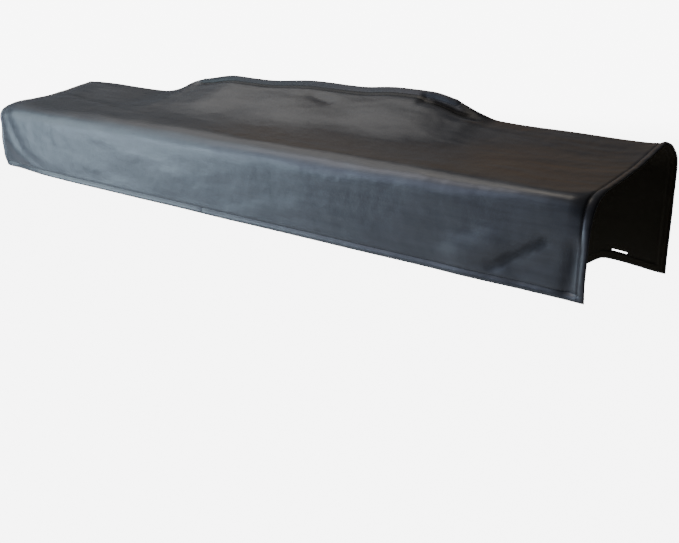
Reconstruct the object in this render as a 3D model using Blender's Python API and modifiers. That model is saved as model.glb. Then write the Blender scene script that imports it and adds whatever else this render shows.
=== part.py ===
"""Fitted piano cover: one sheet of leathercloth, hemmed all round, hanging as it fits.

The cover lies along X with its front flap at -Y. It is hollow, and open underneath and at both ends.
The origin is on the underside of the top, near the middle, where the cover is carried.
"""
import bpy
import numpy as np

# Driving dimensions, in metres
MM = 0.001
LEFT_END = -0.736
RIGHT_END = 0.710
GIRTH = 0.6840
FRONT_Y = -0.158
FRONT_HEM_Z = -0.1700
CLOTH = 0.0016
HEM_CLOTH = 0.0032
HEM_WIDTH = 0.012
HEM_STEP = 0.002

# Slot in the top, measured along the cloth from the front hem to its front lip
SLOT_LEFT = -0.318
SLOT_RIGHT = 0.322
SLOT_GIRTH = 0.431
SLOT_WIDTH = 0.018
SLOT_FADE = 0.055
BAND_RISE = 0.013
BAND_PITCH = np.radians(60.0)

# Slit in the back flap, a little above its hem
SLIT_CENTRE_X = 0.6285
SLIT_LENGTH = 0.028
SLIT_HEIGHT = 0.003
SLIT_ABOVE_HEM = 0.018

# Outline of each cross-section, in mm from the front hem, with +y to the back and +z up.
# The crease's reach is how far its round goes, and slack is the cloth that ripples take up in the back flap.
SECTION_COLUMNS = ("x", "crease_y", "crease_z", "shelf_y", "shelf_z", "crown_y", "crown_z",
                   "lip_y", "lip_z", "eave_y", "eave_z", "crease_reach", "slack")
SECTION_ROWS = (
    (-736, 3, 142, 150, 145, 270, 167, 299, 159, 322, 134, 40, 32),
    (-700, -2, 145, 150, 146, 273, 168, 300, 160, 322, 135, 45, 29),
    (-650, -5, 147, 150, 149, 276, 168, 302, 160, 323, 134, 42, 26),
    (-570, -6, 147, 145, 150, 280, 166, 304, 158, 323, 134, 40, 24),
    (-480, -7, 148, 135, 151, 280, 165, 304, 158, 323, 134, 40, 23),
    (-440, -7, 149, 130, 152, 276, 169, 300, 162, 323, 139, 40, 21),
    (-400, -7, 150, 125, 153, 272, 179, 294, 172, 323, 146, 40, 18),
    (-345, -8, 151, 120, 154, 269, 201, 289, 192, 323, 156, 40, 12),
    (-300, -8, 152, 118, 154, 268, 209, 288, 200, 323, 162, 40, 10),
    (-220, -8, 153, 118, 154, 268, 220, 288, 210, 323, 166, 40, 8),
    (-130, -8, 153, 118, 154, 268, 219, 288, 209, 323, 166, 40, 8),
    (0, -8, 153, 118, 154, 268, 227, 288, 216, 323, 169, 40, 8),
    (110, -9, 154, 118, 154, 268, 226, 288, 215, 323, 169, 40, 8),
    (200, -9, 154, 118, 154, 268, 232, 288, 219, 323, 169, 40, 8),
    (270, -9, 154, 118, 155, 268, 231, 288, 216, 323, 167, 40, 8),
    (322, -9, 154, 118, 156, 268, 222, 287, 208, 323, 164, 38, 8),
    (365, -9, 154, 118, 157, 270, 204, 289, 194, 323, 160, 38, 6),
    (410, -9, 154, 118, 159, 272, 191, 291, 183, 323, 156, 36, 3),
    (500, -9, 153, 118, 161, 270, 188, 292, 179, 323, 154, 32, -6),
    (560, -9, 153, 118, 162, 268, 188, 291, 178, 323, 154, 24, -12),
    (604, -9, 153, 118, 162, 267, 188, 290, 177, 322, 153, 17, 9),
    (680, -6, 153, 118, 162, 264, 188, 289, 179, 321, 154, 24, 9),
    (710, 2, 153, 118, 161, 263, 190, 292, 182, 323, 156, 58, 21),
)

# How far each corner of a section is rounded, in mm, over plain cloth and beside the slot
REACH = {"shelf": (50, 50), "band": (6, 5), "crown": (26, 3), "lip": (14, 4), "eave": (24, 24)}
TAIL_DROP = 0.450
TAIL_OUT = 0.004
CURVE_STEPS = 9

# Main folds, in mm: ends as (x, girth from the front hem), half width, and depth, where a trough is less than 0
FOLD_COLUMNS = ("x0", "g0", "x1", "g1", "width", "depth")
FOLD_ROWS = (
    (-741, 100, -741, 148, 32, -8.0),
    (-746, -6, -740, 0, 16, -9.0),
    (-692, 128, -650, 62, 13, -2.4),
    (-640, 50, -590, 26, 13, -2.4),
    (-570, 20, -500, 12, 13, -1.6),
    (502, 34, 556, 64, 24, 4.2),
    (562, 27, 640, 80, 9, -5.0),
    (600, 26, 655, 56, 24, -2.4),
    (684, 14, 690, 80, 10, -5.0),
    (714, 34, 714, 84, 32, 4.0),
    (-655, 290, -452, 244, 9, 2.0),
    (-600, 304, -380, 349, 45, -3.0),
    (14, 392, 66, 376, 12, -3.0),
    (266, 410, 372, 404, 12, -6.0),
    (420, 304, 640, 364, 50, -3.0),
    (-300, 550, -330, 710, 55, 5.0),
    (-40, 565, -20, 710, 60, -5.0),
    (260, 550, 300, 710, 60, 5.0),
    (560, 560, 568, 700, 34, -5.0),
)

# Lower left corner of the front flap, which steps inwards past a quarter ellipse, in metres from that corner
TUCK_DEPTH = 0.013
TUCK_CENTRE = (0.255, 0.144)
TUCK_RADII = (0.226, 0.136)
TUCK_STEP = 0.42
TUCK_FADE = (0.135, 0.305)

# Grid lines: the widest steps along X between the marks, and the girths of the rows in mm
COLUMN_MARKS = (-0.560, SLOT_LEFT, SLOT_RIGHT, 0.560)
COLUMN_STEPS = (0.0175, 0.024, 0.036, 0.024, 0.0155)
ROW_GIRTHS = (32, 56, 82, 106, 122, 136, 150, 165, 184, 208, 236, 264, 294, 324, 354, 384, 406)
BACK_ROW_GIRTHS = (486, 502, 518, 536, 566, 604, 642)


def smooth_through(x, knots, values):
    """Values at x on smooth curves through the knots, with no overshoot between them."""
    step = np.diff(knots)
    slope = np.diff(values) / step
    before, after = slope[:-1], slope[1:]
    same_way = before * after > 0
    harmonic = 2 * before * after / np.where(same_way, before + after, 1)
    tangent = np.concatenate(([slope[0]], np.where(same_way, harmonic, 0), [slope[-1]]))
    i = np.clip(np.searchsorted(knots, x) - 1, 0, len(step) - 1)
    t = np.clip((x - knots[i]) / step[i], 0, 1)
    start = (1 + 2 * t) * (1 - t) ** 2 * values[i] + t * (1 - t) ** 2 * step[i] * tangent[i]
    end = t ** 2 * (3 - 2 * t) * values[i + 1] + t ** 2 * (t - 1) * step[i] * tangent[i + 1]
    return start + end


def eased(t):
    """A soft step from 0 to 1 as t goes from 0 to 1."""
    t = np.clip(t, 0, 1)
    return t * t * (3 - 2 * t)


def beside_slot(x):
    """1 along the slot, fading to 0 past its two ends."""
    outside = np.maximum(SLOT_LEFT - x, x - SLOT_RIGHT)
    return 1 - eased(outside / SLOT_FADE)


def section_corners(x):
    """Corners (y, z) of the section at each x, from the front hem to past the back hem, their reach, and slack."""
    table = dict(zip(SECTION_COLUMNS, np.array(SECTION_ROWS).T * MM))
    value = {name: smooth_through(x, table["x"], column) for name, column in table.items()}
    near = beside_slot(x)
    point = {name: np.stack((value[name + "_y"], value[name + "_z"]), axis=1)
             for name in ("crease", "shelf", "crown", "lip", "eave")}
    rise = point["crown"] - point["shelf"]
    pitch = (1 - near) * np.arctan2(rise[:, 1], rise[:, 0]) + near * BAND_PITCH
    point["band"] = point["crown"] - BAND_RISE * np.stack((np.cos(pitch), np.sin(pitch)), axis=1)
    point["hem"] = np.zeros_like(rise)
    point["tail"] = point["eave"] + (TAIL_OUT, -TAIL_DROP)
    names = ("hem", "crease", "shelf", "band", "crown", "lip", "eave", "tail")
    corners = np.stack([point[name] for name in names], axis=1)
    reach = [value["crease_reach"]]
    reach += [((1 - near) * REACH[name][0] + near * REACH[name][1]) * MM for name in names[2:-1]]
    return corners, np.stack(reach, axis=1), value["slack"]


def soft_outline(corners, reach):
    """Each section's corners with a parabola at every turn, as a row of points for each section."""
    ahead = np.diff(corners, axis=1)
    run = np.linalg.norm(ahead, axis=2)
    direction = ahead / run[:, :, None]
    reach = np.minimum(reach, 0.48 * np.minimum(run[:, :-1], run[:, 1:]))[:, :, None]
    turn = corners[:, 1:-1]
    leave, arrive = turn + reach * direction[:, 1:], turn - reach * direction[:, :-1]
    t = np.linspace(0, 1, CURVE_STEPS)[None, None, :, None]
    curve = (1 - t) ** 2 * arrive[:, :, None] + 2 * t * (1 - t) * turn[:, :, None] + t ** 2 * leave[:, :, None]
    middle = curve.reshape(len(corners), -1, 2)
    return np.concatenate((corners[:, :1], middle, corners[:, -1:]), axis=1)


def draped(x, girth):
    """Points of the sheet before its folds: a section at each x, walked along from the front hem."""
    corners, reach, slack = section_corners(x)
    outline = soft_outline(corners, reach)
    step = np.linalg.norm(np.diff(outline, axis=1), axis=2)
    along = np.concatenate((np.zeros((len(x), 1)), np.cumsum(step, axis=1)), axis=1)
    crown = 1 + 3 * CURVE_STEPS + CURVE_STEPS // 2
    near = beside_slot(x)
    front_run = near * along[:, crown] + (1 - near) * SLOT_GIRTH
    points = np.zeros((len(x), len(girth), 3))
    points[:, :, 0] = x[:, None]
    down_back = eased((girth - SLOT_GIRTH - SLOT_WIDTH) / (GIRTH - SLOT_GIRTH - SLOT_WIDTH))
    for i, line in enumerate(outline):
        walked = np.where(girth < SLOT_GIRTH, girth * front_run[i] / SLOT_GIRTH,
                          girth - SLOT_GIRTH + front_run[i] - slack[i] * down_back)
        points[i, :, 1] = np.interp(walked, along[i], line[:, 0]) + FRONT_Y
        points[i, :, 2] = np.interp(walked, along[i], line[:, 1]) + FRONT_HEM_Z
    return points


def fold_height(x, girth):
    """How far the folds lift the cloth outwards at each (x, girth), less than 0 in a trough."""
    x, girth = x[:, None], girth[None, :]
    height = np.zeros(np.broadcast_shapes(x.shape, girth.shape))
    for row in FOLD_ROWS:
        fold = dict(zip(FOLD_COLUMNS, (value * MM for value in row)))
        run_x, run_g = fold["x1"] - fold["x0"], fold["g1"] - fold["g0"]
        t = ((x - fold["x0"]) * run_x + (girth - fold["g0"]) * run_g) / (run_x ** 2 + run_g ** 2)
        t = np.clip(t, 0, 1)
        away = np.hypot(x - fold["x0"] - t * run_x, girth - fold["g0"] - t * run_g)
        height = height + fold["depth"] * np.exp(-(away / fold["width"]) ** 2)
    from_end = x - LEFT_END
    across = np.maximum(TUCK_CENTRE[0] - from_end, 0) / TUCK_RADII[0]
    down = np.maximum(TUCK_CENTRE[1] - girth, 0) / TUCK_RADII[1]
    tuck = eased((np.hypot(across, down) - 1) / TUCK_STEP)
    fade = 1 - eased((from_end - TUCK_FADE[0]) / (TUCK_FADE[1] - TUCK_FADE[0]))
    return height - TUCK_DEPTH * tuck * fade


def cover_surface(x, girth):
    """Outer face of the cover: the draped sheet, moved along its normal by its folds."""
    points = draped(x, girth)
    across = np.gradient(points, axis=0)
    around = np.gradient(points, axis=1)
    normal = np.cross(across, around)
    normal = normal / np.linalg.norm(normal, axis=2)[:, :, None]
    return points + normal * fold_height(x, girth)[:, :, None]


def column_places():
    """Places of the grid's columns along X, with lines at the hems and the slot's ends."""
    inner_left, inner_right = LEFT_END + HEM_WIDTH + HEM_STEP, RIGHT_END - HEM_WIDTH - HEM_STEP
    marks = (inner_left,) + COLUMN_MARKS + (inner_right,)
    places = [LEFT_END, LEFT_END + HEM_WIDTH]
    for start, stop, step in zip(marks[:-1], marks[1:], COLUMN_STEPS):
        count = int(np.ceil((stop - start) / step))
        places += list(np.linspace(start, stop, count, endpoint=False))
    return np.array(places + [inner_right, RIGHT_END - HEM_WIDTH, RIGHT_END])


def row_girths():
    """Girths of the grid's rows, with lines at the hems and the slot's lips."""
    back_lip = SLOT_GIRTH + SLOT_WIDTH
    hem_lines = (0, HEM_WIDTH, HEM_WIDTH + HEM_STEP)
    rows = list(hem_lines) + [girth * MM for girth in ROW_GIRTHS]
    rows += [SLOT_GIRTH - line for line in reversed(hem_lines)] + [back_lip + line for line in hem_lines]
    rows += [girth * MM for girth in BACK_ROW_GIRTHS] + [GIRTH - line for line in reversed(hem_lines)]
    return np.array(rows)


def hem_share(x, girth):
    """Share of the hem's thickness at each point: 1 on a hem, and the plain cloth's share off it."""
    x, girth = x[:, None], girth[None, :]
    from_edge = np.minimum(np.minimum(x - LEFT_END, RIGHT_END - x), np.minimum(girth, GIRTH - girth))
    beyond_x = np.maximum(np.maximum(SLOT_LEFT - x, x - SLOT_RIGHT), 0)
    beyond_g = np.maximum(np.maximum(SLOT_GIRTH - girth, girth - SLOT_GIRTH - SLOT_WIDTH), 0)
    from_slot = np.hypot(beyond_x, beyond_g)
    nearest = np.minimum(from_edge, from_slot)
    return np.where(nearest < HEM_WIDTH + HEM_STEP / 2, 1.0, CLOTH / HEM_CLOTH)


def leathercloth():
    """Charcoal leathercloth with a soft sheen."""
    material = bpy.data.materials.new("charcoal_leathercloth")
    material.use_nodes = True
    shader = material.node_tree.nodes["Principled BSDF"]
    shader.inputs["Base Color"].default_value = (0.030, 0.032, 0.037, 1.0)
    shader.inputs["Roughness"].default_value = 0.5
    shader.inputs["Metallic"].default_value = 0.0
    return material


def make_collection(name):
    """A new collection linked to the scene."""
    collection = bpy.data.collections.new(name)
    bpy.context.scene.collection.children.link(collection)
    return collection


def make_cloth(collection):
    """The sheet as a grid with its slot left out, given its thickness on the inside."""
    x, girth = column_places(), row_girths()
    columns, rows = len(x), len(girth)
    points = cover_surface(x, girth).reshape(-1, 3)
    first = (np.arange(columns - 1)[:, None] * rows + np.arange(rows - 1)[None, :])
    faces = np.stack((first, first + rows, first + rows + 1, first + 1), axis=2)
    middle_x = (x[:-1] + x[1:])[:, None] / 2
    middle_g = (girth[:-1] + girth[1:])[None, :] / 2
    in_slot = (middle_x > SLOT_LEFT) & (middle_x < SLOT_RIGHT)
    in_slot = in_slot & (middle_g > SLOT_GIRTH) & (middle_g < SLOT_GIRTH + SLOT_WIDTH)
    mesh = bpy.data.meshes.new("cover_cloth")
    mesh.from_pydata(points, [], faces[~in_slot].tolist())
    cloth = bpy.data.objects.new("cover_cloth", mesh)
    collection.objects.link(cloth)
    share = hem_share(x, girth).reshape(-1)
    group = cloth.vertex_groups.new(name="hem")
    for value in np.unique(share):
        group.add(np.flatnonzero(share == value).tolist(), float(value), "REPLACE")
    wall = cloth.modifiers.new("wall", "SOLIDIFY")
    wall.thickness = HEM_CLOTH
    wall.offset = -1.0
    wall.vertex_group = group.name
    mesh.materials.append(leathercloth())
    mesh.shade_smooth()
    return cloth


def cut_slit(cloth, cutters):
    """A narrow slit through the back flap, near its right end."""
    x = np.array([SLIT_CENTRE_X - SLIT_LENGTH, SLIT_CENTRE_X, SLIT_CENTRE_X + SLIT_LENGTH])
    girth = np.array([GIRTH - 2 * SLIT_ABOVE_HEM, GIRTH - SLIT_ABOVE_HEM, GIRTH])
    place = cover_surface(x, girth)[1, 1]
    bpy.ops.mesh.primitive_cube_add(size=1.0, location=place)
    cutter = bpy.context.object
    cutter.name = "slit_cutter"
    cutter.scale = (SLIT_LENGTH, 20 * HEM_CLOTH, SLIT_HEIGHT)
    bpy.ops.object.transform_apply(location=False, rotation=False, scale=True)
    for collection in cutter.users_collection:
        collection.objects.unlink(cutter)
    cutters.objects.link(cutter)
    cutter.hide_render = True
    cutter.display_type = "WIRE"
    cut = cloth.modifiers.new("slit", "BOOLEAN")
    cut.operation = "DIFFERENCE"
    cut.solver = "EXACT"
    cut.object = cutter


def main():
    """Clear the scene and build the cover."""
    for item in list(bpy.data.objects):
        bpy.data.objects.remove(item, do_unlink=True)
    cover = make_collection("piano_cover")
    cutters = make_collection("cutters")
    cloth = make_cloth(cover)
    cut_slit(cloth, cutters)


main()
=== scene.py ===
"""Looks of a fitted piano cover: one sheet of faux leather with turned, stitched hems.

The cover lies along X with its front flap at -Y. It hangs hollow, open underneath and at both ends,
and a long slot is open at the back of its top.
"""

import math

import bpy
import numpy as np
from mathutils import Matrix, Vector


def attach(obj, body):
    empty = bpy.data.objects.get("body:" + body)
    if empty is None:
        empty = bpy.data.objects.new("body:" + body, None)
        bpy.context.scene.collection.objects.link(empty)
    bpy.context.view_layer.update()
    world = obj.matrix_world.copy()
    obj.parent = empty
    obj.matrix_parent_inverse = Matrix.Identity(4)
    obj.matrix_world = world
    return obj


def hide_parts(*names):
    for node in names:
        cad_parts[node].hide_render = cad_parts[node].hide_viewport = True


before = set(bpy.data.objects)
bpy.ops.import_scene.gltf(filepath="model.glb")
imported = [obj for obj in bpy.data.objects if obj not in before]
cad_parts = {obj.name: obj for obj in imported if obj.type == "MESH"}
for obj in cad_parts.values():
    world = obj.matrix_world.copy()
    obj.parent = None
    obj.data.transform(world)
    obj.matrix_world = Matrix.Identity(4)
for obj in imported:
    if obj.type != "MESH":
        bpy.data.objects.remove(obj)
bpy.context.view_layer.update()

bl_info = {
    "name": "Fitted Piano Cover",
    "version": (1, 0, 0),
    "blender": (4, 5, 0),
    "location": "3D View > Sidebar > Piano Cover",
    "description": "Builds a hemmed faux leather piano cover with its slot, its stitches and a stage",
    "category": "Object",
}

MM = 0.001
NODE = "cover_cloth"
BODY = "root"

# The front hem's line, in the frame
FRONT_Y = -0.158
FRONT_HEM_Z = -0.170

# The slot's fade past its ends, and the steep band at its front lip
SLOT_FADE = 0.055
BAND_RISE = 0.013
BAND_PITCH = math.radians(60.0)

# Outline of each cross-section, in mm from the front hem, with +y to the back and +z up.
# The crease's reach is how far its round goes, and slack is the cloth that the back flap's ripples take up.
SECTION_COLUMNS = ("x", "crease_y", "crease_z", "shelf_y", "shelf_z", "crown_y", "crown_z",
                   "lip_y", "lip_z", "eave_y", "eave_z", "crease_reach", "slack")
SECTION_ROWS = (
    (-736, 3, 142, 150, 145, 270, 167, 299, 159, 322, 134, 40, 32),
    (-700, -2, 145, 150, 146, 273, 168, 300, 160, 322, 135, 45, 29),
    (-650, -5, 147, 150, 149, 276, 168, 302, 160, 323, 134, 42, 26),
    (-570, -6, 147, 145, 150, 280, 166, 304, 158, 323, 134, 40, 24),
    (-480, -7, 148, 135, 151, 280, 165, 304, 158, 323, 134, 40, 23),
    (-440, -7, 149, 130, 152, 276, 169, 300, 162, 323, 139, 40, 21),
    (-400, -7, 150, 125, 153, 272, 179, 294, 172, 323, 146, 40, 18),
    (-345, -8, 151, 120, 154, 269, 201, 289, 192, 323, 156, 40, 12),
    (-300, -8, 152, 118, 154, 268, 209, 288, 200, 323, 162, 40, 10),
    (-220, -8, 153, 118, 154, 268, 220, 288, 210, 323, 166, 40, 8),
    (-130, -8, 153, 118, 154, 268, 219, 288, 209, 323, 166, 40, 8),
    (0, -8, 153, 118, 154, 268, 227, 288, 216, 323, 169, 40, 8),
    (110, -9, 154, 118, 154, 268, 226, 288, 215, 323, 169, 40, 8),
    (200, -9, 154, 118, 154, 268, 232, 288, 219, 323, 169, 40, 8),
    (270, -9, 154, 118, 155, 268, 231, 288, 216, 323, 167, 40, 8),
    (322, -9, 154, 118, 156, 268, 222, 287, 208, 323, 164, 38, 8),
    (365, -9, 154, 118, 157, 270, 204, 289, 194, 323, 160, 38, 6),
    (410, -9, 154, 118, 159, 272, 191, 291, 183, 323, 156, 36, 3),
    (500, -9, 153, 118, 161, 270, 188, 292, 179, 323, 154, 32, -6),
    (560, -9, 153, 118, 162, 268, 188, 291, 178, 323, 154, 24, -12),
    (604, -9, 153, 118, 162, 267, 188, 290, 177, 322, 153, 17, 9),
    (680, -6, 153, 118, 162, 264, 188, 289, 179, 321, 154, 24, 9),
    (710, 2, 153, 118, 161, 263, 190, 292, 182, 323, 156, 58, 21),
)

# How far each corner of a section is rounded, in mm, over plain cloth and beside the slot, how many rounded
# corners come before the crown, and the most of a straight run that a corner takes. The tail is where the
# back flap points to, below its eave. A rounded corner is drawn with CURVE_STEPS points.
REACH = {"shelf": (50, 50), "band": (6, 5), "crown": (26, 3), "lip": (14, 4), "eave": (24, 24)}
CORNERS_BEFORE_CROWN = 3
REACH_SHARE = 0.48
TAIL_DROP = 0.450
TAIL_OUT = 0.004
CURVE_STEPS = 15

# Main folds, in mm: ends as (x, girth from the front hem), half width, and depth, less than 0 in a trough
FOLD_COLUMNS = ("x0", "g0", "x1", "g1", "width", "depth")
FOLD_ROWS = (
    (-741, 100, -741, 148, 32, -8.0),
    (-746, -6, -740, 0, 16, -9.0),
    (-692, 128, -650, 62, 13, -2.4),
    (-640, 50, -590, 26, 13, -2.4),
    (-570, 20, -500, 12, 13, -1.6),
    (502, 34, 556, 64, 24, 4.2),
    (562, 27, 640, 80, 9, -5.0),
    (600, 26, 655, 56, 24, -2.4),
    (684, 14, 690, 80, 10, -5.0),
    (714, 34, 714, 84, 32, 4.0),
    (-655, 290, -452, 244, 9, 2.0),
    (-600, 304, -380, 349, 45, -3.0),
    (14, 392, 66, 376, 12, -3.0),
    (266, 410, 372, 404, 12, -6.0),
    (420, 304, 640, 364, 50, -3.0),
    (-300, 550, -330, 710, 55, 5.0),
    (-40, 565, -20, 710, 60, -5.0),
    (260, 550, 300, 710, 60, 5.0),
    (560, 560, 568, 700, 34, -5.0),
)

# The front flap's lower left corner steps inwards past a quarter ellipse. Its centre and radii are given as
# (distance from the left end, girth), and the step fades out between two distances from that end.
TUCK_DEPTH = 0.013
TUCK_CENTRE = (0.255, 0.144)
TUCK_RADII = (0.226, 0.136)
TUCK_STEP = 0.42
TUCK_FADE = (0.135, 0.305)

# Sharp creases, in the same columns, how far they fade at their ends, and the patch of the cloth with close
# grid lines for them
CREASE_ROWS = (
    (-318, 416, 300, 413, 4.0, -1.2),
    (262, 415, 356, 410, 6.0, -3.4),
    (20, 388, 58, 383, 8.0, -1.4),
    (-635, 280, -560, 263, 5.0, 0.9),
    (-560, 263, -430, 236, 5.0, 0.6),
    (610, 150, 685, 150, 4.0, 0.5),
    (548, 18, 656, 91, 10, 1.8),
)
CREASE_FADE = 0.030
FINE_X = (0.240, 0.400)
FINE_GIRTH = (0.360, 0.425)
FINE_STEP = 0.003

# Lines of painted shade in the pinched folds, the skin darkened and its gloss lowered: ends and half width,
# in mm and in the same columns, and the painted shade's share, which eases out over PAINTED_SHADE_SOFT half
# widths
PAINTED_SHADE_ROWS = (
    (-345, 422, 300, 422, 10, 0.60),
    (240, 419, 410, 415, 13, 0.68),
    (258, 415, 380, 409.5, 3.5, 1.0),
    (552, 22, 664, 93, 5, 0.50),
    (680, 4, 692, 88, 6, 0.36),
)
PAINTED_SHADE_SOFT = 1.0

# Ripples of the hung cloth, in mm: height, and wave lengths along X and round the girth. The bend shifts
# the wave round the girth by up to so many radians, on a wave so many times longer along X.
RIPPLE_COLUMNS = ("height", "wave_x", "wave_g")
RIPPLE_ROWS = (
    (0.50, 420, 160),
    (0.35, 270, 110),
    (0.22, 330, 60),
    (0.16, 190, 47),
    (0.10, 240, 31),
    (0.07, 130, 23),
)
RIPPLE_SEED = 7
RIPPLE_BEND = 0.6
RIPPLE_BEND_WAVES = 1.9

# A turned hem across its width, in mm: the puff of its outer face, and its thickness, down to plain cloth.
# The slot's hem has SLOT_PUFF of that puff.
HEM_COLUMNS = ("from_edge", "height", "thickness")
HEM_ROWS = (
    (0.0, -0.60, 2.0),
    (0.5, 0.50, 3.2),
    (1.4, 1.25, 4.0),
    (2.8, 1.75, 4.6),
    (4.6, 1.85, 4.8),
    (6.6, 1.55, 4.6),
    (8.4, 0.95, 4.1),
    (9.8, 0.25, 3.4),
    (11.0, -0.50, 2.7),
    (12.0, -0.85, 2.4),
    (13.0, -0.55, 2.5),
    (14.2, -0.10, 2.0),
    (15.6, 0.05, 1.7),
    (18.0, 0.00, 1.6),
)
HEM = dict(zip(HEM_COLUMNS, np.array(HEM_ROWS).T * MM))
THICKEST = float(HEM["thickness"].max())
SLOT_PUFF = 0.30
SEAM_FROM_EDGE = 0.012
SEAM_HALF_WIDTH = 0.0013

# The skin's soft uneven patches, its streaks rubbed along X, STREAK_STRETCH times as long as wide, and its
# pebbles. Its worn tone comes in from WORN_FROM to WORN_TO of the patch noise times the streak noise. The
# streak noise also sets the roughness, and the gloss falls to PAINTED_SHADE_GLOSS on a line of painted
# shade.
PATCH_SIZE = 111.111 * MM
PATCH_DEPTH = 3.8 * MM
STREAK_WIDTH = 11.1111 * MM
STREAK_STRETCH = 12.5
STREAK_DEPTH = 1.0 * MM
STREAK_STRENGTH = 0.05
PEBBLE_SIZE = 2.08333 * MM
PEBBLE_DEPTH = 0.4 * MM
PEBBLE_STRENGTH = 0.10
WORN_FROM = 0.16
WORN_TO = 0.40
STREAK_SPREAD = (0.3, 0.7)
ROUGHNESS = (0.31, 0.42)
SEAM_SHADE = 0.75
SKIN_GLOSS = 0.5
PAINTED_SHADE_GLOSS = 0.05

# The thread's twist, as the wave texture's scale times the thread's diameter
TWIST_SCALE = 0.5

# The knit's loops, and their depth
LOOP_SIZE = 1.42857 * MM
LOOP_DEPTH = 0.4 * MM

# Where the front hem's two ends meet, as a shallow groove across it, and its grid lines in groove widths
JOIN_X = -0.062
JOIN_DEPTH = 0.0008
JOIN_WIDTH = 0.0014
JOIN_LINES = (-2, -1, -0.4, 0.4, 1, 2)

# A stitch: its share of the pitch, how deep its ends sink and how far its middle rises, its rings and its
# sides, and the step to each side over which the cloth's normal is taken
STITCH_SHARE = 0.74
STITCH_SINK = 0.0003
STITCH_RISE = 0.0007
STITCH_RINGS = 5
STITCH_SIDES = 6
NORMAL_STEP = 0.0005

# The camera: its focal length in pixels of a frame PHOTO_WIDTH wide, its place, and its aim in degrees
PHOTO_WIDTH = 679
SENSOR = 36.0
FOCAL_PIXELS = 935.6
CAMERA_PLACE = (1.2088, -1.3314, 0.3001)
CAMERA_DOWN = 18.91
CAMERA_LEFT = 38.65

# The floor, which fades out between two distances and is mostly clear to the camera, and the white room
FLOOR_Z = -0.800
FLOOR_SIZE = 14.0
FLOOR_FADE = (1.0, 5.5)
FLOOR_CLEAR = 0.85
PAPER_COLOUR = "#FFFFFF"
PAPER_STRENGTH = 8.0
FILL_COLOUR = "#FFF6EE"
FILL_STRENGTH = 0.005

# Soft area lights, in metres and watts
LIGHT_COLUMNS = ("name", "place", "aim", "size", "power", "colour")
LIGHT_ROWS = (
    ("low_window_left", (-1.5, -1.3, -0.25), (-0.4, -0.15, -0.1), (1.0, 0.7), 18.3, "#D4EDFF"),
    ("window_left", (-1.9, -1.1, 0.45), (-0.4, -0.1, -0.1), (1.0, 0.8), 12.6, "#DAF3FF"),
    ("tall_window_left", (-2.2, -1.0, 1.6), (-0.3, -0.1, -0.1), (1.2, 1.2), 9.3, "#D8F3FF"),
    ("window_front_left", (-1.2, -1.4, 1.5), (-0.1, -0.1, 0.0), (1.0, 1.0), 17.3, "#FDF7FF"),
    ("window_front", (-1.2, -2.2, 0.4), (-0.2, -0.1, -0.1), (1.4, 1.4), 19.5, "#D1DCFF"),
    ("ceiling_left", (-1.7, 0.3, 2.3), (0.0, 0.0, 0.0), (2.4, 2.4), 24.0, "#FFFAF2"),
    ("lamp_above", (-0.3, -0.5, 2.4), (0.0, 0.0, 0.0), (1.4, 1.4), 18.9, "#FFF3E2"),
    ("warm_wall_behind", (-0.8, 2.2, 0.9), (0.0, 0.0, 0.0), (2.6, 1.0), 1.65, "#FFC050"),
)


def linear(hex_colour):
    """Linear RGBA of an sRGB hex colour: c/12.92 below 0.04045, else ((c+0.055)/1.055)^2.4."""
    code = hex_colour.lstrip("#")
    parts = [int(code[i:i + 2], 16) / 255 for i in (0, 2, 4)]
    return tuple(c / 12.92 if c <= 0.04045 else ((c + 0.055) / 1.055) ** 2.4 for c in parts) + (1.0,)


def eased(t):
    """A soft step from 0 to 1: t^2 (3 - 2t), held at its ends."""
    t = np.clip(t, 0, 1)
    return t * t * (3 - 2 * t)


def smooth_through(x, knots, values):
    """Cubic through the knots whose slope at each is the harmonic mean of the slopes on its two sides."""
    step = np.diff(knots)
    slope = np.diff(values) / step
    before, after = slope[:-1], slope[1:]
    same_way = before * after > 0
    harmonic = 2 * before * after / np.where(same_way, before + after, 1)
    tangent = np.concatenate(([slope[0]], np.where(same_way, harmonic, 0), [slope[-1]]))
    i = np.clip(np.searchsorted(knots, x) - 1, 0, len(step) - 1)
    t = np.clip((x - knots[i]) / step[i], 0, 1)
    start = (1 + 2 * t) * (1 - t) ** 2 * values[i] + t * (1 - t) ** 2 * step[i] * tangent[i]
    end = t ** 2 * (3 - 2 * t) * values[i + 1] + t ** 2 * (t - 1) * step[i] * tangent[i + 1]
    return start + end


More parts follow.
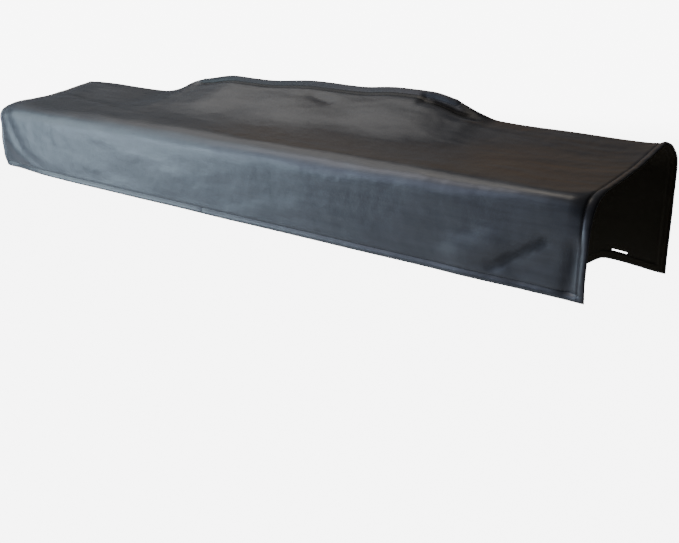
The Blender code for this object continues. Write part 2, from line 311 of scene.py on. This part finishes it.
class CoverSizes(bpy.types.PropertyGroup):
    """Sizes of the sheet, its slot, its slit and its stitches, and the steps of its grid."""

    left_end: bpy.props.FloatProperty(
        name="Left end", description="Left edge of the cloth", default=-0.736, unit="LENGTH")
    right_end: bpy.props.FloatProperty(
        name="Right end", description="Right edge of the cloth", default=0.710, unit="LENGTH")
    girth: bpy.props.FloatProperty(
        name="Girth", description="Cloth from the front hem over the top to the back hem",
        default=0.684, unit="LENGTH")
    slot_left: bpy.props.FloatProperty(
        name="Slot left", description="Left end of the open slot", default=-0.318, unit="LENGTH")
    slot_right: bpy.props.FloatProperty(
        name="Slot right", description="Right end of the open slot", default=0.322, unit="LENGTH")
    slot_girth: bpy.props.FloatProperty(
        name="Slot place", description="Cloth from the front hem to the slot's front lip",
        default=0.431, unit="LENGTH")
    slot_width: bpy.props.FloatProperty(
        name="Slot width", description="Cloth left out between the slot's lips",
        default=0.018, unit="LENGTH")
    slit_x: bpy.props.FloatProperty(
        name="Slit place", description="Middle of the slit in the back flap", default=0.6285, unit="LENGTH")
    slit_length: bpy.props.FloatProperty(
        name="Slit length", description="Length of the slit in the back flap", default=0.028, unit="LENGTH")
    slit_height: bpy.props.FloatProperty(
        name="Slit height", description="Height of the slit in the back flap", default=0.003, unit="LENGTH")
    slit_above_hem: bpy.props.FloatProperty(
        name="Slit above hem", description="Middle of the slit above the back edge",
        default=0.018, unit="LENGTH")
    step_x: bpy.props.FloatProperty(
        name="Column step", description="Widest step between columns", default=0.0090, unit="LENGTH")
    step_girth: bpy.props.FloatProperty(
        name="Row step", description="Widest step between rows", default=0.0070, unit="LENGTH")
    stitch_pitch: bpy.props.FloatProperty(
        name="Stitch pitch", description="From one stitch to the next", default=0.0042, unit="LENGTH")
    thread: bpy.props.FloatProperty(
        name="Thread", description="Diameter of the sewing thread", default=0.0006, unit="LENGTH")


class CoverColours(bpy.types.PropertyGroup):
    """sRGB hex colours of the cover and its stage."""

    leather: bpy.props.StringProperty(
        name="Leather", description="Charcoal of the faux leather's face", default="#34363B")
    leather_worn: bpy.props.StringProperty(
        name="Worn leather", description="Paler streaks where the face has rubbed", default="#404246")
    seam: bpy.props.StringProperty(
        name="Seam", description="Shade in the groove that the stitches pull in", default="#0E0E10")
    backing: bpy.props.StringProperty(
        name="Backing", description="Black knit on the inside", default="#282218")
    thread: bpy.props.StringProperty(
        name="Thread", description="Sewing thread", default="#2A2B2F")
    floor: bpy.props.StringProperty(
        name="Floor", description="Pale studio floor", default="#F4F4F4")


def beside_slot(sizes, x):
    """1 along the slot, with an eased fall to 0 over SLOT_FADE past each end."""
    outside = np.maximum(sizes.slot_left - x, x - sizes.slot_right)
    return 1 - eased(outside / SLOT_FADE)


def section_corners(sizes, x):
    """Corners (y, z) of the section at each x, each corner's reach, and the back flap's slack.

    The named columns are read on smooth curves. The band is BAND_RISE before the crown, at the slope's own
    pitch over plain cloth and at BAND_PITCH beside the slot.
    """
    table = dict(zip(SECTION_COLUMNS, np.array(SECTION_ROWS).T * MM))
    value = {name: smooth_through(x, table["x"], column) for name, column in table.items()}
    near = beside_slot(sizes, x)
    point = {name: np.stack((value[name + "_y"], value[name + "_z"]), axis=1)
             for name in ("crease", "shelf", "crown", "lip", "eave")}
    rise = point["crown"] - point["shelf"]
    pitch = (1 - near) * np.arctan2(rise[:, 1], rise[:, 0]) + near * BAND_PITCH
    point["band"] = point["crown"] - BAND_RISE * np.stack((np.cos(pitch), np.sin(pitch)), axis=1)
    point["hem"] = np.zeros_like(rise)
    point["tail"] = point["eave"] + (TAIL_OUT, -TAIL_DROP)
    names = ("hem", "crease", "shelf", "band", "crown", "lip", "eave", "tail")
    corners = np.stack([point[name] for name in names], axis=1)
    reach = [value["crease_reach"]]
    reach += [((1 - near) * REACH[name][0] + near * REACH[name][1]) * MM for name in names[2:-1]]
    return corners, np.stack(reach, axis=1), value["slack"]


def soft_outline(corners, reach):
    """Straight runs joined at each corner P by the parabola (1-t)^2 A + 2t(1-t) P + t^2 B.

    A and B lie on the two runs, the corner's reach away from it, and never past the runs' middles.
    """
    ahead = np.diff(corners, axis=1)
    run = np.linalg.norm(ahead, axis=2)
    direction = ahead / run[:, :, None]
    reach = np.minimum(reach, REACH_SHARE * np.minimum(run[:, :-1], run[:, 1:]))[:, :, None]
    turn = corners[:, 1:-1]
    leave, arrive = turn + reach * direction[:, 1:], turn - reach * direction[:, :-1]
    t = np.linspace(0, 1, CURVE_STEPS)[None, None, :, None]
    arrive, turn, leave = arrive[:, :, None], turn[:, :, None], leave[:, :, None]
    curve = (1 - t) ** 2 * arrive + 2 * t * (1 - t) * turn + t ** 2 * leave
    middle = curve.reshape(len(corners), -1, 2)
    return np.concatenate((corners[:, :1], middle, corners[:, -1:]), axis=1)


def walk(outline, along, walked):
    """Point at each walked length: the run it falls on is found by counting, and split in proportion."""
    k = (along[:, None, :] <= walked[:, :, None]).sum(axis=2) - 1
    k = np.clip(k, 0, along.shape[1] - 2)
    start, stop = (np.take_along_axis(along, k + i, axis=1) for i in (0, 1))
    share = ((walked - start) / (stop - start))[:, :, None]
    first, second = (np.take_along_axis(outline, (k + i)[:, :, None], axis=1) for i in (0, 1))
    return first + share * (second - first)


def draped(sizes, x, girth):
    """The sheet before its folds: point (x, g) is g along the section at x, from the front hem.

    Beside the slot the front part is stretched to put the slot's front lip on the crown, and the slack
    is taken out of the back flap on an eased step.
    """
    corners, reach, slack = section_corners(sizes, x)
    outline = soft_outline(corners, reach)
    step = np.linalg.norm(np.diff(outline, axis=1), axis=2)
    along = np.concatenate((np.zeros((len(x), 1)), np.cumsum(step, axis=1)), axis=1)
    crown = 1 + CORNERS_BEFORE_CROWN * CURVE_STEPS + CURVE_STEPS // 2
    near = beside_slot(sizes, x)
    front_run = (near * along[:, crown] + (1 - near) * sizes.slot_girth)[:, None]
    back_lip = sizes.slot_girth + sizes.slot_width
    down_back = eased((girth - back_lip) / (sizes.girth - back_lip))[None, :]
    walked = np.where(girth[None, :] < sizes.slot_girth, girth[None, :] * front_run / sizes.slot_girth,
                      girth[None, :] - sizes.slot_girth + front_run - slack[:, None] * down_back)
    section = walk(outline, along, walked)
    points = np.zeros((len(x), len(girth), 3))
    points[:, :, 0] = x[:, None]
    points[:, :, 1:] = section + (FRONT_Y, FRONT_HEM_Z)
    return points


def distance_from(fold, x, girth):
    """Distance of each point of the flat cloth from the fold's line, and along it from its nearer end."""
    run_x, run_g = fold["x1"] - fold["x0"], fold["g1"] - fold["g0"]
    t = ((x - fold["x0"]) * run_x + (girth - fold["g0"]) * run_g) / (run_x ** 2 + run_g ** 2)
    t = np.clip(t, 0, 1)
    away = np.hypot(x - fold["x0"] - t * run_x, girth - fold["g0"] - t * run_g)
    return away, np.minimum(t, 1 - t) * math.hypot(run_x, run_g)


def fold_height(sizes, x, girth):
    """Sum over the folds of depth * exp(-(d / width)^2), d being the distance to the line, less the tuck.

    A crease also fades out towards its ends. The tuck is an eased step of TUCK_DEPTH that starts at the
    quarter ellipse and ends TUCK_STEP radii past it.
    """
    x, girth = x[:, None], girth[None, :]
    height = np.zeros(np.broadcast_shapes(x.shape, girth.shape))
    for row in FOLD_ROWS + CREASE_ROWS:
        fold = dict(zip(FOLD_COLUMNS, (value * MM for value in row)))
        away, inside = distance_from(fold, x, girth)
        ends = eased(inside / CREASE_FADE) if row in CREASE_ROWS else 1.0
        height = height + ends * fold["depth"] * np.exp(-(away / fold["width"]) ** 2)
    from_end = x - sizes.left_end
    across = np.maximum(TUCK_CENTRE[0] - from_end, 0) / TUCK_RADII[0]
    down = np.maximum(TUCK_CENTRE[1] - girth, 0) / TUCK_RADII[1]
    tuck = eased((np.hypot(across, down) - 1) / TUCK_STEP)
    fade = 1 - eased((from_end - TUCK_FADE[0]) / (TUCK_FADE[1] - TUCK_FADE[0]))
    return height - TUCK_DEPTH * tuck * fade


def ripple_height(x, girth):
    """Slight unevenness of hung cloth: a seeded sum of height * sin along X * sin round the girth.

    The sine round the girth is shifted by a longer one along X, so that its crests wander.
    """
    draw = np.random.default_rng(RIPPLE_SEED)
    x, girth = x[:, None], girth[None, :]
    height = 0.0
    for row in RIPPLE_ROWS:
        ripple = dict(zip(RIPPLE_COLUMNS, np.array(row) * MM))
        phase = draw.uniform(0, 2 * math.pi, 3)
        bend = RIPPLE_BEND * np.sin(2 * math.pi * x / (RIPPLE_BEND_WAVES * ripple["wave_x"]) + phase[2])
        along_x = np.sin(2 * math.pi * x / ripple["wave_x"] + phase[0])
        round_girth = np.sin(2 * math.pi * girth / ripple["wave_g"] + phase[1] + bend)
        height = height + ripple["height"] * along_x * round_girth
    return height


def edge_distances(sizes, x, girth):
    """Distance of each point of the flat cloth from the nearest outer edge, and from the slot."""
    x, girth = x[:, None], girth[None, :]
    from_end = np.minimum(x - sizes.left_end, sizes.right_end - x)
    from_edge = np.minimum(from_end, np.minimum(girth, sizes.girth - girth))
    beyond_x = np.maximum(np.maximum(sizes.slot_left - x, x - sizes.slot_right), 0)
    back_lip = sizes.slot_girth + sizes.slot_width
    beyond_g = np.maximum(np.maximum(sizes.slot_girth - girth, girth - back_lip), 0)
    return from_edge, np.hypot(beyond_x, beyond_g)


def painted_shade_share(x, girth):
    """How much painted shade the skin gets in the pinched folds: the most of the rows' shares, each eased
    out past its width and to its ends.
    """
    x, girth = x[:, None], girth[None, :]
    painted_shade = np.zeros(np.broadcast_shapes(x.shape, girth.shape))
    for row in PAINTED_SHADE_ROWS:
        *place, share = row
        line = dict(zip(FOLD_COLUMNS, (value * MM for value in place)))
        away, inside = distance_from(line, x, girth)
        across = 1 - eased((away / line["width"] - 1) / PAINTED_SHADE_SOFT)
        painted_shade = np.maximum(painted_shade, share * across * eased(inside / CREASE_FADE))
    return painted_shade


def normals_of(points):
    """Unit normals of a grid of points: the cross product of its steps along X and round the girth."""
    normal = np.cross(np.gradient(points, axis=0), np.gradient(points, axis=1))
    return normal / np.linalg.norm(normal, axis=2)[:, :, None]


def cloth_surface(sizes, x, girth):
    """The cloth's face without its hems: the draped sheet plus its normal times fold and ripple height."""
    points = draped(sizes, x, girth)
    height = fold_height(sizes, x, girth) + ripple_height(x, girth)
    return points + normals_of(points) * height[:, :, None]


def hem_lift(sizes, x, girth):
    """The hem's profile at each point, flatter at the slot, less the groove where its ends meet."""
    from_edge, from_slot = edge_distances(sizes, x, girth)
    puff = np.where(from_slot < from_edge, SLOT_PUFF, 1.0)
    puff = puff * np.interp(np.minimum(from_edge, from_slot), HEM["from_edge"], HEM["height"])
    groove = np.exp(-((x[:, None] - JOIN_X) / JOIN_WIDTH) ** 2) * (girth[None, :] < SEAM_FROM_EDGE)
    return puff - JOIN_DEPTH * groove


def dressed_surface(sizes, x, girth):
    """Outer face of the cloth with its hems, and its unit normals."""
    points = cloth_surface(sizes, x, girth)
    points = points + normals_of(points) * hem_lift(sizes, x, girth)[:, :, None]
    return points, normals_of(points)


def filled(marks, step):
    """Sorted marks, with evenly spaced values between any two that are further apart than step."""
    marks = np.unique(np.round(marks, 6))
    runs = [np.linspace(a, b, max(1, math.ceil((b - a) / step)), endpoint=False)
            for a, b in zip(marks[:-1], marks[1:])]
    return np.concatenate(runs + [marks[-1:]])


def grid_lines(sizes):
    """Columns and rows of the cloth's grid, close together over hems, the slit and the sharp creases."""
    hem = HEM["from_edge"]
    slit_x = sizes.slit_x + np.array((-0.5, 0.5)) * sizes.slit_length
    join_x = JOIN_X + np.array(JOIN_LINES) * JOIN_WIDTH
    fine_x = np.arange(FINE_X[0], FINE_X[1], FINE_STEP)
    fine_g = np.arange(FINE_GIRTH[0], FINE_GIRTH[1], FINE_STEP)
    x = filled(np.concatenate((sizes.left_end + hem, sizes.right_end - hem, sizes.slot_left - hem,
                               sizes.slot_right + hem, slit_x, join_x, fine_x)), sizes.step_x)
    back_lip = sizes.slot_girth + sizes.slot_width
    slit_g = sizes.girth - sizes.slit_above_hem + np.array((-0.5, 0.5)) * sizes.slit_height
    girth = filled(np.concatenate((hem, sizes.girth - hem, sizes.slot_girth - hem, back_lip + hem,
                                   slit_g, fine_g)), sizes.step_girth)
    girth = girth[(girth <= sizes.slot_girth + 1e-6) | (girth >= back_lip - 1e-6)]
    return x, girth


def new_mesh_object(name, points, faces):
    """A mesh object at the origin, with smooth faces."""
    mesh = bpy.data.meshes.new(name)
    mesh.from_pydata(points.reshape(-1, 3), [], faces)
    mesh.shade_smooth()
    piece = bpy.data.objects.new(name, mesh)
    bpy.context.scene.collection.objects.link(piece)
    return piece


def add_node(tree, kind, settings=None, **links):
    """A node of that kind with its settings and its input values or links, by socket name or number."""
    node = tree.nodes.new(kind)
    for key, value in (settings or {}).items():
        setattr(node, key, value)
    for key, value in links.items():
        name = key.replace("_", " ")
        socket = node.inputs[int(name[1:])] if name[0] == "i" and name[1:].isdigit() else node.inputs[name]
        if isinstance(value, bpy.types.NodeSocket):
            tree.links.new(value, socket)
        else:
            socket.default_value = value
    return node


def new_material(name):
    """A new node material, its node tree and the tree's Principled BSDF."""
    material = bpy.data.materials.new(name)
    material.use_nodes = True
    tree = material.node_tree
    return material, tree, tree.nodes["Principled BSDF"]


def cloth_metres(tree, sizes):
    """The place on the flat cloth in metres: the cloth's UV map times the length that it was divided by."""
    uv = add_node(tree, "ShaderNodeUVMap", {"uv_map": "cloth"}).outputs["UV"]
    length = sizes.right_end - sizes.left_end
    return add_node(tree, "ShaderNodeMapping", i0=uv, Scale=(length, length, 1)).outputs[0]


def faux_leather(sizes, colours):
    """PVC leathercloth on a knit: a calendered skin with a soft satin sheen and a fine pebble."""
    material, tree, shader = new_material("calendered_pvc_leathercloth")
    metres = cloth_metres(tree, sizes)
    along = add_node(tree, "ShaderNodeMapping", i0=metres, Scale=(1 / STREAK_STRETCH, 1, 1)).outputs[0]
    cloud = add_node(tree, "ShaderNodeTexNoise", i0=metres, Scale=1 / PATCH_SIZE, Detail=3.0,
                     Roughness=0.55)
    streak = add_node(tree, "ShaderNodeTexNoise", i0=along, Scale=1 / STREAK_WIDTH, Detail=3.0,
                      Roughness=0.5)
    tone = add_node(tree, "ShaderNodeMath", {"operation": "MULTIPLY"},
                    i0=cloud.outputs[0], i1=streak.outputs[0]).outputs[0]
    worn = add_node(tree, "ShaderNodeMapRange", i0=tone, i1=WORN_FROM, i2=WORN_TO).outputs[0]
    colour = add_node(tree, "ShaderNodeMix", {"data_type": "RGBA"}, i0=worn)
    colour.inputs[6].default_value = linear(colours.leather)
    colour.inputs[7].default_value = linear(colours.leather_worn)
    from_edge = add_node(tree, "ShaderNodeAttribute", {"attribute_name": "from_edge"}).outputs["Fac"]
    from_seam = add_node(tree, "ShaderNodeMath", {"operation": "SUBTRACT"}, i0=from_edge, i1=SEAM_FROM_EDGE)
    off_seam = add_node(tree, "ShaderNodeMath", {"operation": "ABSOLUTE"}, i0=from_seam.outputs[0])
    in_seam = add_node(tree, "ShaderNodeMapRange", i0=off_seam.outputs[0], i1=0.0, i2=SEAM_HALF_WIDTH,
                       i3=SEAM_SHADE, i4=0.0)
    shaded = add_node(tree, "ShaderNodeMix", {"data_type": "RGBA"}, i0=in_seam.outputs[0],
                      i6=colour.outputs[2])
    shaded.inputs[7].default_value = linear(colours.seam)
    # Painted shade in the pinched folds: by the mesh attribute's share, the colour is darkened towards the
    # seam colour and the gloss lowered
    painted_shade = add_node(tree, "ShaderNodeAttribute", {"attribute_name": "painted_shade"}).outputs["Fac"]
    painted_shade_colour = add_node(tree, "ShaderNodeMix", {"data_type": "RGBA"}, i0=painted_shade, i6=shaded.outputs[2])
    painted_shade_colour.inputs[7].default_value = linear(colours.seam)
    tree.links.new(painted_shade_colour.outputs[2], shader.inputs["Base Color"])
    gloss = add_node(tree, "ShaderNodeMapRange", i0=painted_shade, i1=0.0, i2=1.0, i3=SKIN_GLOSS, i4=PAINTED_SHADE_GLOSS)
    tree.links.new(gloss.outputs[0], shader.inputs["Specular IOR Level"])
    rough = add_node(tree, "ShaderNodeMapRange", i0=streak.outputs[0], i1=STREAK_SPREAD[0],
                     i2=STREAK_SPREAD[1], i3=ROUGHNESS[0], i4=ROUGHNESS[1])
    tree.links.new(rough.outputs[0], shader.inputs["Roughness"])
    pebble = add_node(tree, "ShaderNodeTexVoronoi", {"feature": "SMOOTH_F1"}, i0=metres,
                      Scale=1 / PEBBLE_SIZE)
    uneven = add_node(tree, "ShaderNodeBump", Strength=1.0, Distance=PATCH_DEPTH, Height=cloud.outputs[0])
    grain = add_node(tree, "ShaderNodeBump", Strength=PEBBLE_STRENGTH, Distance=PEBBLE_DEPTH,
                     Height=pebble.outputs[0], Normal=uneven.outputs[0])
    brushed = add_node(tree, "ShaderNodeBump", Strength=STREAK_STRENGTH, Distance=STREAK_DEPTH,
                       Height=streak.outputs[0], Normal=grain.outputs[0])
    tree.links.new(brushed.outputs[0], shader.inputs["Normal"])
    shader.inputs["Sheen Weight"].default_value = 0.08
    shader.inputs["Sheen Roughness"].default_value = 0.4
    return material


def knit_backing(sizes, colours):
    """Black brushed polyester knit, fused to the skin: matt, so the hollow stays dark."""
    material, tree, shader = new_material("black_polyester_knit")
    metres = cloth_metres(tree, sizes)
    loops = add_node(tree, "ShaderNodeTexNoise", i0=metres, Scale=1 / LOOP_SIZE, Detail=2.0)
    raised = add_node(tree, "ShaderNodeBump", Strength=0.3, Distance=LOOP_DEPTH, Height=loops.outputs[0])
    tree.links.new(raised.outputs[0], shader.inputs["Normal"])
    shader.inputs["Base Color"].default_value = linear(colours.backing)
    shader.inputs["Roughness"].default_value = 0.95
    shader.inputs["Specular IOR Level"].default_value = 0.2
    return material


def sewing_thread(sizes, colours):
    """Bonded polyester thread: a slightly silky dark line whose twist catches the light.

    The wave turns once in 0.2 pi / TWIST_SCALE diameters, which is about 1.3 of them.
    """
    material, tree, shader = new_material("bonded_polyester_thread")
    place = add_node(tree, "ShaderNodeTexCoord").outputs["Object"]
    twist = add_node(tree, "ShaderNodeTexWave", {"bands_direction": "DIAGONAL"}, i0=place,
                     Scale=TWIST_SCALE / sizes.thread, Distortion=1.0)
    raised = add_node(tree, "ShaderNodeBump", Strength=0.4, Distance=0.0001, Height=twist.outputs[0])
    tree.links.new(raised.outputs[0], shader.inputs["Normal"])
    shader.inputs["Base Color"].default_value = linear(colours.thread)
    shader.inputs["Roughness"].default_value = 0.5
    return material


def studio_floor(colours):
    """Matt white paper floor, which fades out into the white room so that no horizon shows."""
    material, tree, shader = new_material("matt_paper_floor")
    shader.inputs["Base Color"].default_value = linear(colours.floor)
    shader.inputs["Roughness"].default_value = 0.9
    place = add_node(tree, "ShaderNodeTexCoord").outputs["Object"]
    away = add_node(tree, "ShaderNodeVectorMath", {"operation": "LENGTH"}, i0=place).outputs["Value"]
    fade = add_node(tree, "ShaderNodeMapRange", {"interpolation_type": "SMOOTHSTEP"}, i0=away,
                    i1=FLOOR_FADE[0], i2=FLOOR_FADE[1]).outputs[0]
    seen = add_node(tree, "ShaderNodeLightPath").outputs["Is Camera Ray"]
    pale = add_node(tree, "ShaderNodeMath", {"operation": "MULTIPLY"}, i0=seen, i1=FLOOR_CLEAR).outputs[0]
    share = add_node(tree, "ShaderNodeMath", {"operation": "MAXIMUM"}, i0=fade, i1=pale).outputs[0]
    clear = add_node(tree, "ShaderNodeBsdfTransparent").outputs[0]
    both = add_node(tree, "ShaderNodeMixShader", i0=share, i1=shader.outputs[0], i2=clear).outputs[0]
    tree.links.new(both, tree.nodes["Material Output"].inputs["Surface"])
    return material


class COVER_OT_cloth(bpy.types.Operator):
    """Hang the hemmed sheet, hollow below."""

    bl_idname = "piano_cover.cloth"
    bl_label = "Cloth"

    def execute(self, context):
        sizes, colours = context.scene.cover_sizes, context.scene.cover_colours
        x, girth = grid_lines(sizes)
        points, _ = dressed_surface(sizes, x, girth)
        nearest = np.minimum(*edge_distances(sizes, x, girth))
        thickness = np.interp(nearest, HEM["from_edge"], HEM["thickness"])
        columns, rows = len(x), len(girth)
        first = np.arange(columns - 1)[:, None] * rows + np.arange(rows - 1)[None, :]
        faces = np.stack((first, first + rows, first + rows + 1, first + 1), axis=2)
        middle_x = ((x[:-1] + x[1:]) / 2)[:, None]
        middle_g = ((girth[:-1] + girth[1:]) / 2)[None, :]
        _, slot_gap = edge_distances(sizes, middle_x[:, 0], middle_g[0])
        slit_g = sizes.girth - sizes.slit_above_hem
        in_slit = (np.abs(middle_x - sizes.slit_x) < sizes.slit_length / 2) & (
            np.abs(middle_g - slit_g) < sizes.slit_height / 2)
        kept = (slot_gap > 0) & ~in_slit
        cloth = new_mesh_object("faux_leather_cover", points, faces[kept].tolist())
        mesh = cloth.data
        length = sizes.right_end - sizes.left_end
        uv = np.stack(np.broadcast_arrays((x[:, None] - sizes.left_end) / length, girth[None, :] / length),
                      axis=2).reshape(-1, 2)
        loops = np.zeros(len(mesh.loops), np.int32)
        mesh.loops.foreach_get("vertex_index", loops)
        layer = mesh.uv_layers.new(name="cloth")
        layer.data.foreach_set("uv", uv[loops].astype(np.float32).ravel())
        # The distance from the edge, and the share of painted shade in the pinched folds, go on the points
        # for the leather's material
        for name, values in (("from_edge", nearest), ("painted_shade", painted_shade_share(x, girth))):
            layer = mesh.attributes.new(name, "FLOAT", "POINT")
            layer.data.foreach_set("value", values.astype(np.float32).ravel())
        for material in (faux_leather(sizes, colours), knit_backing(sizes, colours)):
            mesh.materials.append(material)
        group = cloth.vertex_groups.new(name="thickness")
        share = np.round(thickness / THICKEST, 3).reshape(-1)
        for value in np.unique(share):
            group.add(np.flatnonzero(share == value).tolist(), float(value), "REPLACE")
        wall = cloth.modifiers.new("wall", "SOLIDIFY")
        wall.thickness = THICKEST
        wall.offset = -1.0
        wall.vertex_group = group.name
        wall.material_offset = 1
        wall.material_offset_rim = 0
        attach(cloth, BODY)
        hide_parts(NODE)
        return {"FINISHED"}


def seam_lines(sizes):
    """Rows of stitches as (runs along X, fixed place, start, stop), past each corner, where rows cross."""
    start, stop, inset = sizes.left_end, sizes.right_end, SEAM_FROM_EDGE
    rows = [(True, inset, start, stop), (True, sizes.girth - inset, start, stop),
            (False, start + inset, 0.0, sizes.girth), (False, stop - inset, 0.0, sizes.girth)]
    left, right = sizes.slot_left - inset, sizes.slot_right + inset
    front, back = sizes.slot_girth - inset, sizes.slot_girth + sizes.slot_width + inset
    return rows + [(True, front, left, right), (True, back, left, right),
                   (False, left, front, back), (False, right, front, back)]


def stitch_row(sizes, along_x, place, start, stop):
    """Rings of every stitch in a row, as an array (stitches, rings, sides, 3).

    Each stitch's middle line is the surface point plus the normal times rise * sin(pi t) - sink, for t from
    0 to 1 along it, and its rings are circles of the thread's radius round that line.
    """
    count = int((stop - start) / sizes.stitch_pitch)
    t = np.linspace(0, 1, STITCH_RINGS)
    first = start + (np.arange(count) + (1 - STITCH_SHARE) / 2) * (stop - start) / count
    walked = (first[:, None] + t * STITCH_SHARE * (stop - start) / count).ravel()
    beside = place + np.array((-1, 0, 1)) * NORMAL_STEP
    x, girth = (walked, beside) if along_x else (beside, walked)
    points, normal = dressed_surface(sizes, x, girth)
    points, normal = (points[:, 1], normal[:, 1]) if along_x else (points[1], normal[1])
    run = np.gradient(points, axis=0)
    run = run / np.linalg.norm(run, axis=1)[:, None]
    lift = np.tile(STITCH_RISE * np.sin(math.pi * t) - STITCH_SINK, count)[:, None]
    side = np.cross(run, normal)
    turn = np.arange(STITCH_SIDES) * 2 * math.pi / STITCH_SIDES
    ring = np.cos(turn)[None, :, None] * normal[:, None] + np.sin(turn)[None, :, None] * side[:, None]
    rings = (points + normal * lift)[:, None] + ring * sizes.thread / 2
    return rings.reshape(count, STITCH_RINGS, STITCH_SIDES, 3)


class COVER_OT_stitches(bpy.types.Operator):
    """Sew a row of lockstitches along every hem."""

    bl_idname = "piano_cover.stitches"
    bl_label = "Stitches"

    def execute(self, context):
        sizes, colours = context.scene.cover_sizes, context.scene.cover_colours
        rings = np.concatenate([stitch_row(sizes, *row) for row in seam_lines(sizes)])
        count = len(rings)
        corner = np.arange(STITCH_RINGS * STITCH_SIDES).reshape(STITCH_RINGS, STITCH_SIDES)
        here, ahead = corner[:-1], corner[1:]
        side = np.stack((here, np.roll(here, -1, 1), np.roll(ahead, -1, 1), ahead), axis=2).reshape(-1, 4)
        fan = np.stack((np.zeros(STITCH_SIDES - 2, int), np.arange(1, STITCH_SIDES - 1),
                        np.arange(2, STITCH_SIDES)), axis=1)
        caps = np.concatenate((corner[0][fan[:, ::-1]], corner[-1][fan]))
        start = np.arange(count)[:, None, None] * corner.size
        sides = (side + start).reshape(-1, 4).tolist()
        ends = (caps + start).reshape(-1, 3).tolist()
        stitches = new_mesh_object("hem_stitches", rings, sides + ends)
        stitches.data.materials.append(sewing_thread(sizes, colours))
        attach(stitches, BODY)
        return {"FINISHED"}


class COVER_OT_stage(bpy.types.Operator):
    """Set the floor, the soft studio lights and the camera."""

    bl_idname = "piano_cover.stage"
    bl_label = "Stage"

    def execute(self, context):
        colours = context.scene.cover_colours
        bpy.ops.mesh.primitive_plane_add(size=FLOOR_SIZE, location=(0, 0, FLOOR_Z))
        floor = context.object
        floor.name = "studio_floor"
        floor.data.materials.append(studio_floor(colours))
        for row in LIGHT_ROWS:
            light = dict(zip(LIGHT_COLUMNS, row))
            lamp = bpy.data.lights.new(light["name"], "AREA")
            lamp.shape = "RECTANGLE"
            lamp.size, lamp.size_y = light["size"]
            lamp.energy = light["power"]
            lamp.color = linear(light["colour"])[:3]
            holder = bpy.data.objects.new(light["name"], lamp)
            holder.location = light["place"]
            aim = Vector(light["aim"]) - Vector(light["place"])
            holder.rotation_euler = aim.to_track_quat("-Z", "Y").to_euler()
            holder.visible_camera = False
            context.scene.collection.objects.link(holder)
        world = bpy.data.worlds.new("pale_studio")
        context.scene.world = world
        world.use_nodes = True
        tree = world.node_tree
        fill = tree.nodes["Background"]
        fill.inputs["Color"].default_value = linear(FILL_COLOUR)
        fill.inputs["Strength"].default_value = FILL_STRENGTH
        paper = add_node(tree, "ShaderNodeBackground", Color=linear(PAPER_COLOUR),
                         Strength=PAPER_STRENGTH)
        seen = add_node(tree, "ShaderNodeLightPath").outputs["Is Camera Ray"]
        both = add_node(tree, "ShaderNodeMixShader", i0=seen, i1=fill.outputs[0], i2=paper.outputs[0])
        tree.links.new(both.outputs[0], tree.nodes["World Output"].inputs["Surface"])
        lens = bpy.data.cameras.new("photo_camera")
        lens.sensor_width = SENSOR
        lens.lens = SENSOR * FOCAL_PIXELS / PHOTO_WIDTH
        lens.clip_end = 50.0
        camera = bpy.data.objects.new("photo_camera", lens)
        camera.location = CAMERA_PLACE
        camera.rotation_euler = (math.radians(90 - CAMERA_DOWN), 0, math.radians(CAMERA_LEFT))
        context.scene.collection.objects.link(camera)
        context.scene.camera = camera
        return {"FINISHED"}


class COVER_PT_build(bpy.types.Panel):
    """Sizes and colours, and a button for each piece."""

    bl_idname = "COVER_PT_build"
    bl_label = "Piano Cover"
    bl_space_type = "VIEW_3D"
    bl_region_type = "UI"
    bl_category = "Piano Cover"

    def draw(self, context):
        for group in (context.scene.cover_sizes, context.scene.cover_colours):
            for name in group.__annotations__:
                self.layout.prop(group, name)
        for operator in (COVER_OT_cloth, COVER_OT_stitches, COVER_OT_stage):
            self.layout.operator(operator.bl_idname)


CLASSES = (CoverSizes, CoverColours, COVER_OT_cloth, COVER_OT_stitches, COVER_OT_stage, COVER_PT_build)


def register():
    """Register the classes and give the scene its two groups of settings."""
    for item in CLASSES:
        bpy.utils.register_class(item)
    bpy.types.Scene.cover_sizes = bpy.props.PointerProperty(type=CoverSizes)
    bpy.types.Scene.cover_colours = bpy.props.PointerProperty(type=CoverColours)


def unregister():
    """Take the settings and the classes away again."""
    del bpy.types.Scene.cover_colours
    del bpy.types.Scene.cover_sizes
    for item in reversed(CLASSES):
        bpy.utils.unregister_class(item)


def main():
    """Build the cover and its stage."""
    register()
    bpy.ops.piano_cover.cloth()
    bpy.ops.piano_cover.stitches()
    bpy.ops.piano_cover.stage()


if __name__ == "__main__":
    main()
